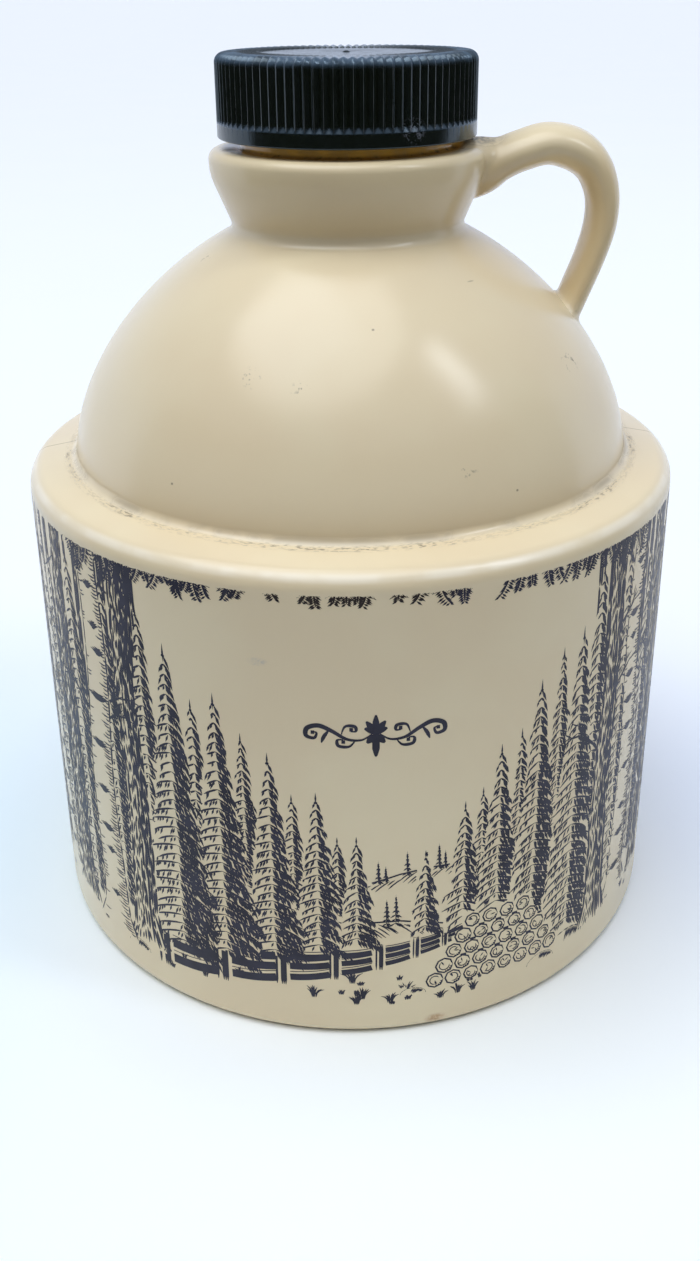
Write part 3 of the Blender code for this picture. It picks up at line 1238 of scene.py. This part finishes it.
# %% Scroll
def scroll(pen, u, z):
    for lean, long in ((-1.15, 1.9), (-0.62, 2.5), (0.0, 3.1), (0.62, 2.5), (1.15, 1.9)):
        tip = (u + math.sin(lean) * long, z + 0.3 + math.cos(lean) * long)
        pen.flow([(u, z), (u + math.sin(lean) * long * 0.5, z + 0.5 + math.cos(lean) * long * 0.4),
                  tip], 1.0, ends=0.5)
    for lean, long in ((-0.75, 2.0), (0.0, 3.9), (0.75, 2.0)):
        tip = (u + math.sin(lean) * long, z - math.cos(lean) * long)
        pen.flow([(u, z), ((u + tip[0]) / 2, (z + tip[1]) / 2), tip], 1.15, ends=0.5)
    for side in (-1, 1):
        def at(x, y):
            return u + side * x, z + y
        pen.flow([at(0.6, 0.1), at(2.2, -0.9), at(4.4, -0.7), at(6.6, 0.7), at(8.6, 1.6),
                  at(10.3, 1.1), at(10.5, -0.2), at(9.3, -0.6), at(8.9, 0.3), at(9.5, 0.5)],
                 0.78, ends=0.55)
        pen.flow([at(3.0, -0.8), at(4.0, -2.0), at(5.6, -1.9), at(5.8, -0.9), at(4.9, -0.8)],
                 0.55, ends=0.5)
        pen.flow([at(5.2, 0.1), at(4.6, 1.5), at(3.2, 1.5), at(3.0, 0.7), at(3.8, 0.6)],
                 0.55, ends=0.5)
        pen.flow([at(7.0, 0.9), at(7.8, -0.3), at(8.2, -1.4)], 0.60, ends=0.5)
        for x, y in ((9.5, 0.4), (4.9, -1.2), (3.7, 0.95)):
            pen.stroke([at(x - 0.28, y), at(x + 0.28, y)], 0.62, ends=0)


# %% [markdown]
# ### Composing the picture
# The eye needs a near, a middle and a far plane. The near one comes first: the scroll, the
# fir twigs that hang in from above, and full-height birches and pines at both sides, with
# tufts at their feet and a few bare branches.

# %% Near trees
pen = Engraving(PRINT_SEED)
scroll(pen, 0.7, 59.0)
TWIG_ENDS = 54
u = -TWIG_ENDS
while u < TWIG_ENDS:
    near_trees = abs(u) / TWIG_ENDS
    if pen.random.random() < 0.45 + 0.5 * near_trees:
        hanging_twig(pen, u, pen.vary(1.2, 3.4) + 3.0 * near_trees ** 3, pen.vary(-0.5, 0.5))
    u += pen.vary(0.8, 2.0)

# Each trunk: what it is, its place, the height of its foot, its width and its lean.
near_trunks = [
    (birch, -50.5, 7.5, 7.2, 1.5),
    (pine_trunk, -41.0, 9.5, 5.4, -1.0),
    (pine_trunk, -60.5, 9.0, 5.6, 0.5),
    (birch, -69.0, 11.0, 4.8, -0.8),
    (pine_trunk, -79.0, 9.0, 5.8, 0.5),
    (birch, -90.0, 9.0, 5.2, 0.4),
    (pine_trunk, -99.0, 10.0, 5.0, 0.5),
    (pine_trunk, 44.0, 8.5, 5.4, 1.0),
    (birch, 53.0, 10.0, 6.0, -1.2),
    (pine_trunk, 62.5, 9.0, 5.2, 0.6),
    (birch, 72.0, 12.0, 4.4, 0.5),
    (pine_trunk, 81.5, 9.0, 5.6, 0.5),
    (birch, 92.0, 9.0, 6.0, 0.4),
    (pine_trunk, 101.0, 10.0, 4.8, 0.4),
]
for kind, u, foot, width, lean in near_trunks:
    kind(pen, u, foot, PRINT_TOP, width, lean)
    for side in (-1, 1):
        tuft(pen, u + side * width * 0.55, foot - 0.6, pen.vary(1.6, 3.0))
    for k in range(3):
        z = pen.vary(45, 76)
        side = pen.random.choice((-1, 1))
        bare_branch(pen, (u + side * width * 0.35, z), side * pen.vary(0.7, 1.1), 6.5, 0.55)
print("near trees:", len(pen.faces), "marks of the pen")

# %% [markdown]
# ### The middle of the picture
# A log pile and stones lie in front, then come rows of spruces that shrink towards the middle
# of the valley, with the rail fence at their feet. The big spruces between the near trunks
# come after them. Tufts of grass fill the ground.

# %% Middle spruces, fence and stones
log_pile(pen, 10.5, 8.6, 8, 5, 1.6)
for u, z, size in ((31.0, 6.6, 3.0), (37.0, 7.6, 4.4), (6.8, 8.0, 2.2), (-44.0, 6.6, 2.8)):
    stone(pen, u, z, size)
# Each spruce: its place, the height of its foot, its own height and its spread.
spruces = [
    (36.5, 12.0, 57.0, 8.3),
    (-33.0, 12.5, 57.0, 8.4),
    (-24.5, 14.0, 49.0, 7.4),
    (-16.0, 16.0, 38.0, 6.2),
    (-8.6, 18.0, 29.5, 5.0),
    (-2.4, 19.5, 20.0, 3.8),
    (28.0, 15.5, 47.0, 6.8),
    (21.0, 18.0, 35.0, 5.4),
    (8.6, 21.0, 15.0, 3.0),
    (-56.0, 13.0, 66.0, 9.0),
    (-74.0, 14.0, 64.0, 9.0),
    (-46.0, 16.0, 62.0, 7.6),
    (48.5, 15.0, 64.0, 8.0),
    (57.5, 16.0, 60.0, 8.0),
    (67.5, 14.0, 66.0, 9.0),
    (77.0, 15.0, 60.0, 8.5),
    (-38.0, 17.0, 58.0, 6.6),
    (40.5, 17.0, 62.0, 7.0),
    (-65.0, 17.0, 60.0, 7.5),
    (-84.5, 15.0, 60.0, 8.0),
    (87.0, 15.0, 62.0, 8.0),
    (-95.0, 16.0, 58.0, 7.6),
    (97.0, 15.0, 60.0, 8.0),
    (-28.5, 19.0, 42.0, 5.2),
    (15.0, 20.0, 24.0, 4.2),
]
for u, foot, height, spread in spruces:
    spruce(pen, u, foot, height, spread, fine=0.75 + height / 200)

fence_posts = [(-37.5, 7.2, 11.0), (-25.5, 8.8, 9.4), (-15.0, 10.6, 7.8), (-6.2, 12.4, 6.4),
               (1.2, 14.2, 5.2), (7.2, 15.9, 4.2), (12.0, 17.4, 3.4), (15.8, 18.7, 2.7)]
fence(pen, fence_posts, 0.95)
for k in range(130):
    u = pen.vary(-HALF_ROUND, HALF_ROUND)
    z = pen.vary(6.0, 11.5)
    tuft(pen, u, z, pen.vary(1.0, 3.2))
print("with the middle:", len(pen.faces), "marks of the pen")

# %% [markdown]
# ### The deep wood and the back
# Between the near trees, plain upright lines stand for the trunks deep in the wood. Round the
# back of the jug the wood thins out, and the picture closes on itself.

# %% The deep wood and the back
for start, end in ((-103, -37), (40, 105)):
    u = start
    while u < end:
        far_trunk(pen, u, 17 + pen.vary(-1, 2), PRINT_TOP, pen.vary(0.9, 2.2))
        u += pen.vary(1.8, 4.2)

BACK_START = 106.0
u = BACK_START
while u < 2 * HALF_ROUND - BACK_START:
    side = abs(u - HALF_ROUND) / (HALF_ROUND - BACK_START)
    tall = 18 + 44 * side * pen.vary(0.6, 1.0)
    foot = pen.vary(11, 20)
    if pen.random.random() < 0.2:
        birch(pen, u, foot - 3, PRINT_TOP, pen.vary(3.5, 5.5))
    spruce(pen, u + 4, foot, tall, 2.5 + tall * 0.11, fine=0.75 + tall / 200)
    u += pen.vary(5, 9) + 8 * (1 - side)
for u, foot, height, spread in ((-20.2, 20.0, 37.0, 4.6), (-12.4, 21.0, 26.0, 3.8),
                                (24.6, 20.0, 35.0, 4.6), (32.2, 19.0, 48.0, 5.4),
                                (-5.4, 21.5, 18.0, 2.8), (18.0, 21.0, 25.0, 3.6)):
    spruce(pen, u, foot, height, spread, fine=0.8)
print("with the deep wood:", len(pen.faces), "marks of the pen")

# %% [markdown]
# ### The far hills
# Two hills, each a sum of two sine waves, close the valley. The nearer one covers what lies
# behind it, so the farther one only shows above it.

# %% Far hills
HILL_END = 180.0
HILL_STEP = 0.5


def near_hill(u):
    return 21.0 + 3.2 * math.sin(u * 0.050 + 2.2) + 0.5 * math.sin(u * 0.31)


def far_hill(u):
    return 29.5 + 5.0 * math.sin(u * 0.035 + 0.4) + 0.8 * math.sin(u * 0.22)


def firs_on(hill, chance, sink, low, high, nearest, farthest):
    """A row of little firs along a hill, at uneven distances."""
    u = -HILL_END + 2
    while u < HILL_END - 2:
        if pen.random.random() < chance:
            little_fir(pen, u, hill(u) - sink, pen.vary(low, high))
        u += pen.vary(nearest, farthest)


firs_on(near_hill, 0.75, 1.0, 4.5, 9.0, 1.4, 6.0)
ridge(pen, -HILL_END, HILL_END, near_hill, 3.4, slope=1.0)
for k in range(int(2 * HILL_END / HILL_STEP)):
    u = -HILL_END + k * HILL_STEP
    pen.cover_shape(0, near_hill(u) / CELL, lambda z: (u, u + HILL_STEP))
firs_on(far_hill, 0.8, 0.6, 2.2, 4.6, 0.9, 3.2)
ridge(pen, -HILL_END, HILL_END, far_hill, 2.4, slope=-1.0)
print("the whole picture:", len(pen.faces), "marks of the pen")

# %% [markdown]
# ### Wrapping the picture round the drum
# The flat picture becomes a mesh: each point goes to its angle and height on a cylinder just
# 0.02 mm outside the wall, which is about as thick as real ink. Writing the vertices directly
# is the right tool here, since no modelling operator draws fifty thousand pen marks.

# %% Wrap the print
INK_HEIGHT = 0.02 * MM


def wall_radius(z):
    """The radius of the ink at a height: the wall's own, also where the shoulder rounds off."""
    over = max(0.0, z - (SHOULDER_HEIGHT - SHOULDER_ROUND))
    inward = SHOULDER_ROUND - math.sqrt(SHOULDER_ROUND ** 2 - over ** 2)
    return BODY_RADIUS - inward + INK_HEIGHT


def wrapped(name, engraving):
    """The engraving as a mesh round the drum. The front, u = 0, faces -Y."""
    verts = []
    for u, z in engraving.points:
        turn = u * MM / BODY_RADIUS
        radius = wall_radius(z * MM)
        verts.append((math.sin(turn) * radius, -math.cos(turn) * radius, z * MM))
    mesh = bpy.data.meshes.new(name)
    mesh.from_pydata(verts, [], engraving.faces)
    mesh.validate()
    piece = bpy.data.objects.new(name, mesh)
    bpy.context.scene.collection.objects.link(piece)
    return piece


woodland = wrapped("woodland_print", pen)
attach(woodland, "root")
print("woodland print:", len(woodland.data.polygons), "marks")

# %% [markdown]
# ## The cream plastic
# The jug is polyethylene: cream, slightly waxy, with a soft wide gloss. Under a lens its skin
# is faintly pebbled, and larger waves from the moulding bend the highlights. Years on a shelf
# have left their marks: dirt in the groove at the dome's foot, dried syrup on the neck, a few
# grey scuffs and one rust stain near the base. Each mark is a mask between 0 and 1, made from
# the place on the jug, and it is mixed into the colour. Painting an image would do it too,
# but masks stay sharp at any distance and need no unwrapping.

# %% Colours of the plastic and its marks
CREAM = (0.790, 0.655, 0.435, 1)
CREAM_PALE = (0.810, 0.690, 0.465, 1)
# Painted shade on the collar and the handle, then painted light on the dome's foot.
CREAM_PAINTED_SHADE = (0.70, 0.53, 0.27, 1)
CREAM_PAINTED_LIGHT = (0.88, 0.745, 0.51, 1)
# Painted highlights on the ledge's rim and on the fillet at the dome's foot.
CREAM_PAINTED_HIGHLIGHT = (0.93, 0.84, 0.67, 1)
DIRT = (0.10, 0.075, 0.05, 1)
SMUT = (0.045, 0.04, 0.04, 1)
SMEAR = (0.30, 0.33, 0.42, 1)
SYRUP = (0.80, 0.46, 0.13, 1)
RUST = (0.42, 0.19, 0.06, 1)
DARK = (0, 0, 0, 1)
AMBER_GLOW = (0.085, 0.048, 0.008, 1)


def in_mm(values):
    return [value * MM for value in values]


def ring_mask(r, z, radius, height, outer, inner):
    """1 on a ring round the jug, given in mm. It fades out between two distances from it."""
    away = ((r - radius * MM) ** 2 + (z - height * MM) ** 2) ** 0.5
    return away.ramp(outer * MM, inner * MM)


def spots(finish, marks, soft):
    """One mask for many ovals, each given by its centre and half sizes in mm."""
    ovals = [finish.spot(in_mm(centre), in_mm(size), soft) for centre, size in marks]
    return sum(ovals[1:], ovals[0])


# %% [markdown]
# ### The bare plastic
# Cream is not one colour. It is faintly cloudy. On top of that comes painted shade: the
# collar and the handle, which stand outside the dome's oval, are darker and yellower. The
# dome's foot has painted light on it and is a little paler.

# %% Cream with painted shade and light
def cream_with_painted_shade_and_light(plastic, r, z):
    clouds = plastic.noise(28 * MM, 3)
    colour = plastic.blend(clouds.ramp(0.35, 0.65), CREAM, CREAM_PALE)
    oval = (r / DOME_RADIUS) ** DOME_FULLNESS
    oval = oval + ((z - DOME_FOOT).most(0) / DOME_RISE) ** DOME_FULLNESS
    outside = oval.ramp(1.02, 1.12) * z.ramp(90 * MM, 100 * MM)
    # Painted shade: the collar and the handle are darker and yellower.
    painted_shade = outside * z.ramp(142 * MM, 132 * MM) * 0.5
    colour = plastic.blend(painted_shade, colour, CREAM_PAINTED_SHADE)
    # Painted light: the dome's foot is paler.
    low = z.ramp(102 * MM, 90 * MM) * r.ramp(49.6 * MM, 48.6 * MM)
    return plastic.blend(low * 0.8, colour, CREAM_PAINTED_LIGHT)


# %% [markdown]
# ### Painted highlights and dirt on the ledge
# The ledge's outer rim and the fillet at the dome's foot carry painted highlights, pale lines
# in patches. In the groove between them lies dirt, in short scratches that run round the jug:
# fine noise gives them, on a place whose way round is squeezed, which draws the noise out
# along the ring.

# %% Ledge
def ledge_marks(plastic, colour, x, y, z, r):
    """The colour with the ledge's painted highlights and dirt on it, and the dirt's mask."""
    round_jug = y.math("ARCTAN2", y, x) * (16 * MM)
    along = plastic.vector(round_jug, z, r)
    scratches = plastic.noise(0.3 * MM, 4, at=along).ramp(0.46, 0.62)
    patches = plastic.noise(9 * MM, 3).ramp(0.38, 0.62)
    ring = ring_mask(r, z, 50.5, 86.3, 1.0, 0.2)
    cleft = ring_mask(r, z, 49.2, 86.8, 1.2, 0.1)
    grime = (ring * scratches * 0.6 + cleft * patches * 0.3) * (patches * 0.7 + 0.3)
    fillet = ring_mask(r, z, 49.8, 86.7, 0.6, 0.2)
    rim = ring_mask(r, z, 56.4, 84.3, 1.1, 0.3)
    # Painted highlights on the fillet and the rim, in patches.
    painted_highlight = (fillet * 0.4 + rim) * (patches * 0.5 + 0.35)
    colour = plastic.blend(painted_highlight, colour, CREAM_PAINTED_HIGHLIGHT)
    return plastic.blend(grime, colour, DIRT), grime


# %% [markdown]
# ### Scuffs, specks and smears
# The small marks are listed where they are on the jug, and each is a soft oval. Fine noise
# breaks up the larger ones, so that none of them looks like a drawn dot.

# %% Small marks
# Each mark: its centre and its half sizes in mm.
SCUFFS = (
    ((-16.4, -36.0, 108.3), (2.2, 2.2, 2.2)),
    ((-9.2, -39.2, 107.4), (1.8, 1.8, 1.4)),
    ((34.5, -23.0, 105.9), (3.8, 3.4, 2.0)),
    ((-23.8, -9.0, 121.1), (1.6, 2.4, 1.6)),
    ((39.0, -6.5, 109.0), (2.6, 2.2, 2.0)),
    ((15.3, -44.4, 95.6), (2.0, 2.0, 1.2)),
)
SPECK_SIZE = (0.3, 0.3, 0.25)
SPECKS = (
    ((-16.6, -36.0, 108.0), SPECK_SIZE),
    ((35.3, -22.0, 105.8), SPECK_SIZE),
    ((2.0, -33.6, 114.6), SPECK_SIZE),
    ((23.2, -42.3, 91.6), SPECK_SIZE),
    ((-29.0, -38.3, 92.6), SPECK_SIZE),
    ((-7.2, -57.0, 84.9), SPECK_SIZE),
)
SCRATCH = ((18.2, -21.7, 119.0), (1.0, 1.0, 0.13))
SMUDGES = (
    ((21.5, 0.5, 138.3), (6.5, 7.0, 3.0)),
    ((-19.5, -3.0, 138.0), (2.4, 4.5, 1.2)),
)
BLUE_SMEAR = ((-16.6, -55.0, 70.7), (2.0, 3.0, 0.9))
RUST_STAIN = ((10.6, -56.4, 2.0), (2.4, 3.0, 1.3))
print("listed:", len(SCUFFS), "scuffs,", len(SPECKS), "specks and", len(SMUDGES), "smudges")


def small_marks(plastic, colour):
    """The colour with all small marks on it, and the mask of the smudges."""
    fine = plastic.noise(0.7 * MM, 3)
    scuffed = spots(plastic, SCUFFS, 0.8) * fine.ramp(0.56, 0.66) * 0.45
    colour = plastic.blend(scuffed, colour, DIRT)
    specks = spots(plastic, SPECKS, 0.6) * 0.6 + spots(plastic, [SCRATCH], 0.7) * 0.35
    colour = plastic.blend(specks, colour, DIRT)
    smudged = spots(plastic, SMUDGES, 0.9)
    colour = plastic.blend(smudged * fine.ramp(0.35, 0.65, 0.3, 0.95), colour, SMUT)
    smear = spots(plastic, [BLUE_SMEAR], 0.9)
    colour = plastic.blend(smear * fine.ramp(0.4, 0.6, 0.1, 0.4), colour, SMEAR)
    rust = spots(plastic, [RUST_STAIN], 0.9)
    return plastic.blend(rust * fine.ramp(0.3, 0.6, 0.3, 0.8), colour, RUST), smudged


# %% [markdown]
# ### Syrup on the neck
# Syrup has dried on the neck and is darkest where it meets the collar. The thin wall there
# lets light through. A truly translucent plastic would be slow to render, so a faint amber
# glow stands in for it.

# %% Neck
def syrup_neck(plastic, colour, r, z):
    """The colour with the syrup on it, and the colour of the glow."""
    neck = r.ramp(19.8 * MM, 18.6 * MM) * z.ramp(136.7 * MM, 137.2 * MM)
    streaks = plastic.noise(2.5 * MM, 5).ramp(0.3, 0.7)
    colour = plastic.blend(neck * (streaks * 0.3 + 0.65), colour, SYRUP)
    crust = neck * z.ramp(138.1 * MM, 137.6 * MM) * plastic.noise(1.6 * MM, 4).ramp(0.48, 0.7)
    colour = plastic.blend(crust * 0.5, colour, SMUT)
    share = neck * z.ramp(137.5 * MM, 138.0 * MM) * (streaks * 0.5 + 0.5)
    return colour, plastic.blend(share, DARK, AMBER_GLOW)


# %% [markdown]
# ### Putting the finish together
# Last come the fine line that the mould left where its halves met, in which some dirt has
# caught, the relief and the gloss. The relief has three layers: long waves, fine pebbles and
# that line. The gloss varies only a little, because blow-moulded plastic is evenly smooth.

# %% Cream plastic
def cream_plastic():
    plastic = Finish("cream_plastic", IOR=1.5, Emission_Strength=1.0)
    x, y, z = plastic.axes()
    r = (x * x + y * y) ** 0.5
    colour = cream_with_painted_shade_and_light(plastic, r, z)
    colour, grime = ledge_marks(plastic, colour, x, y, z, r)
    seam = abs(y + (plastic.noise(12 * MM) - 0.5) * (0.4 * MM)).ramp(0.22 * MM, 0.06 * MM)
    ledge = r.ramp(49 * MM, 50 * MM) * z.ramp(80 * MM, 84 * MM)
    colour = plastic.blend(seam * (ledge * 0.4 + 0.05), colour, DIRT)
    colour, smudged = small_marks(plastic, colour)
    colour, glow = syrup_neck(plastic, colour, r, z)
    plastic.set(Base_Color=colour, Emission_Color=glow)
    waves = plastic.noise(24 * MM, 1)
    pebbles = plastic.noise(0.5 * MM, 2)
    plastic.relief((waves, 0.10 * MM), (pebbles, 0.005 * MM), (seam, 0.03 * MM))
    gloss = plastic.noise(9 * MM, 4).ramp(0.2, 0.8, 0.20, 0.26)
    plastic.set(Roughness=gloss + grime * 0.3 + smudged * 0.2)
    return plastic.material


jug_finish = cream_plastic()
for piece in (jug_body, handle):
    piece.data.materials.append(jug_finish)
print("cream plastic on the body and the handle")

# %% [markdown]
# ## The black plastic
# The cap is glossy polypropylene, and its gloss mirrors the blue of the sky. A thin grey line
# on the crests of its ribs is a painted highlight, and handling has left a pale scrape low on
# the front. The crests are known from the attribute that was kept while the ribs were cut.
# Bluish dust has settled on the rounded shoulder. On the small slopes where the grooves run
# out, the bluish colour is partly dust and partly a painted reflection of the sky.

# %% Black plastic
BLACK = (0.007, 0.009, 0.005, 1)
# Grey for the painted highlight on the rib crests and for the real scrape.
GREY_HIGHLIGHT_AND_SCRAPE = (0.13, 0.135, 0.155, 1)
# Bluish dust, which on the grooves' run-out is also a painted reflection of the sky.
DUST_AND_SKY_REFLECTION = (0.075, 0.115, 0.165, 1)
SKY_TINT = (0.64, 0.83, 1.0, 1)
KNOCK = ((9.0, -18.0, 141.6), (2.6, 4.0, 2.6))


def black_plastic():
    plastic = Finish("black_plastic", IOR=1.5, Specular_IOR_Level=0.75, Specular_Tint=SKY_TINT)
    crest = plastic.node("ShaderNodeAttribute", {"attribute_name": "crest"}, output="Fac")
    patches = plastic.noise(3.5 * MM, 4).ramp(0.35, 0.6)
    # Painted highlight on the rib crests, in broken patches.
    highlight_and_scrape = crest.ramp(0.75, 1.0) * (patches * 0.55 + 0.2)
    knock = spots(plastic, [KNOCK], 0.7)
    highlight_and_scrape = highlight_and_scrape + knock * plastic.noise(0.9 * MM, 4, distortion=1.0).ramp(0.52, 0.6)
    colour = plastic.blend(highlight_and_scrape, BLACK, GREY_HIGHLIGHT_AND_SCRAPE)
    x, y, z = plastic.axes()
    r = (x * x + y * y) ** 0.5
    shoulder = z.ramp(150.6 * MM, 152.2 * MM) * r.ramp(17.0 * MM, 18.5 * MM)
    foot = z.ramp(142.6 * MM, 141.8 * MM) * z.ramp(141.4 * MM, 141.6 * MM)
    # Dust on the shoulder; at the grooves' run-out, dust and a painted reflection of the sky.
    dust_and_reflection = shoulder * (patches * 0.6 + 0.35) + foot * (1 - crest.ramp(0.4, 0.9)) * 0.25
    plastic.set(Base_Color=plastic.blend(dust_and_reflection, colour, DUST_AND_SKY_REFLECTION))
    plastic.set(Roughness=plastic.noise(2 * MM, 3).ramp(0.2, 0.8, 0.18, 0.26) + highlight_and_scrape * 0.3)
    plastic.relief((plastic.noise(0.6 * MM, 2), 0.006 * MM))
    return plastic.material


cap.data.materials.append(black_plastic())
print("black plastic on the cap")

# %% [markdown]
# ## The ink
# The ink is a dark indigo with a little gloss of its own, so at the jug's sides, where it is
# seen at a flat angle, it mirrors the pale room and turns lavender. It has dried unevenly,
# and it has browned at the top of the front. The relief is far finer than the eye sees, and
# only takes the hardness off the gloss.

# %% Ink
INDIGO = (0.013, 0.012, 0.027, 1)
INDIGO_THIN = (0.026, 0.025, 0.050, 1)
INK_BROWN = (0.024, 0.014, 0.010, 1)


def indigo_ink():
    ink = Finish("indigo_ink", IOR=1.36)
    patches = ink.noise(4 * MM, 4).ramp(0.3, 0.7)
    indigo = ink.blend(patches, INDIGO, INDIGO_THIN)
    browned = ink.spot((-0.004, -BODY_RADIUS, 0.083), (0.022, 0.02, 0.005), 0.5)
    ink.set(Base_Color=ink.blend(browned, indigo, INK_BROWN))
    ink.set(Roughness=ink.noise(1.5 * MM, 3).ramp(0.2, 0.8, 0.28, 0.42))
    ink.relief((ink.noise(0.5 * MM, 2), 0.006 * MM))
    return ink.material


woodland.data.materials.append(indigo_ink())
print("ink on the woodland print")
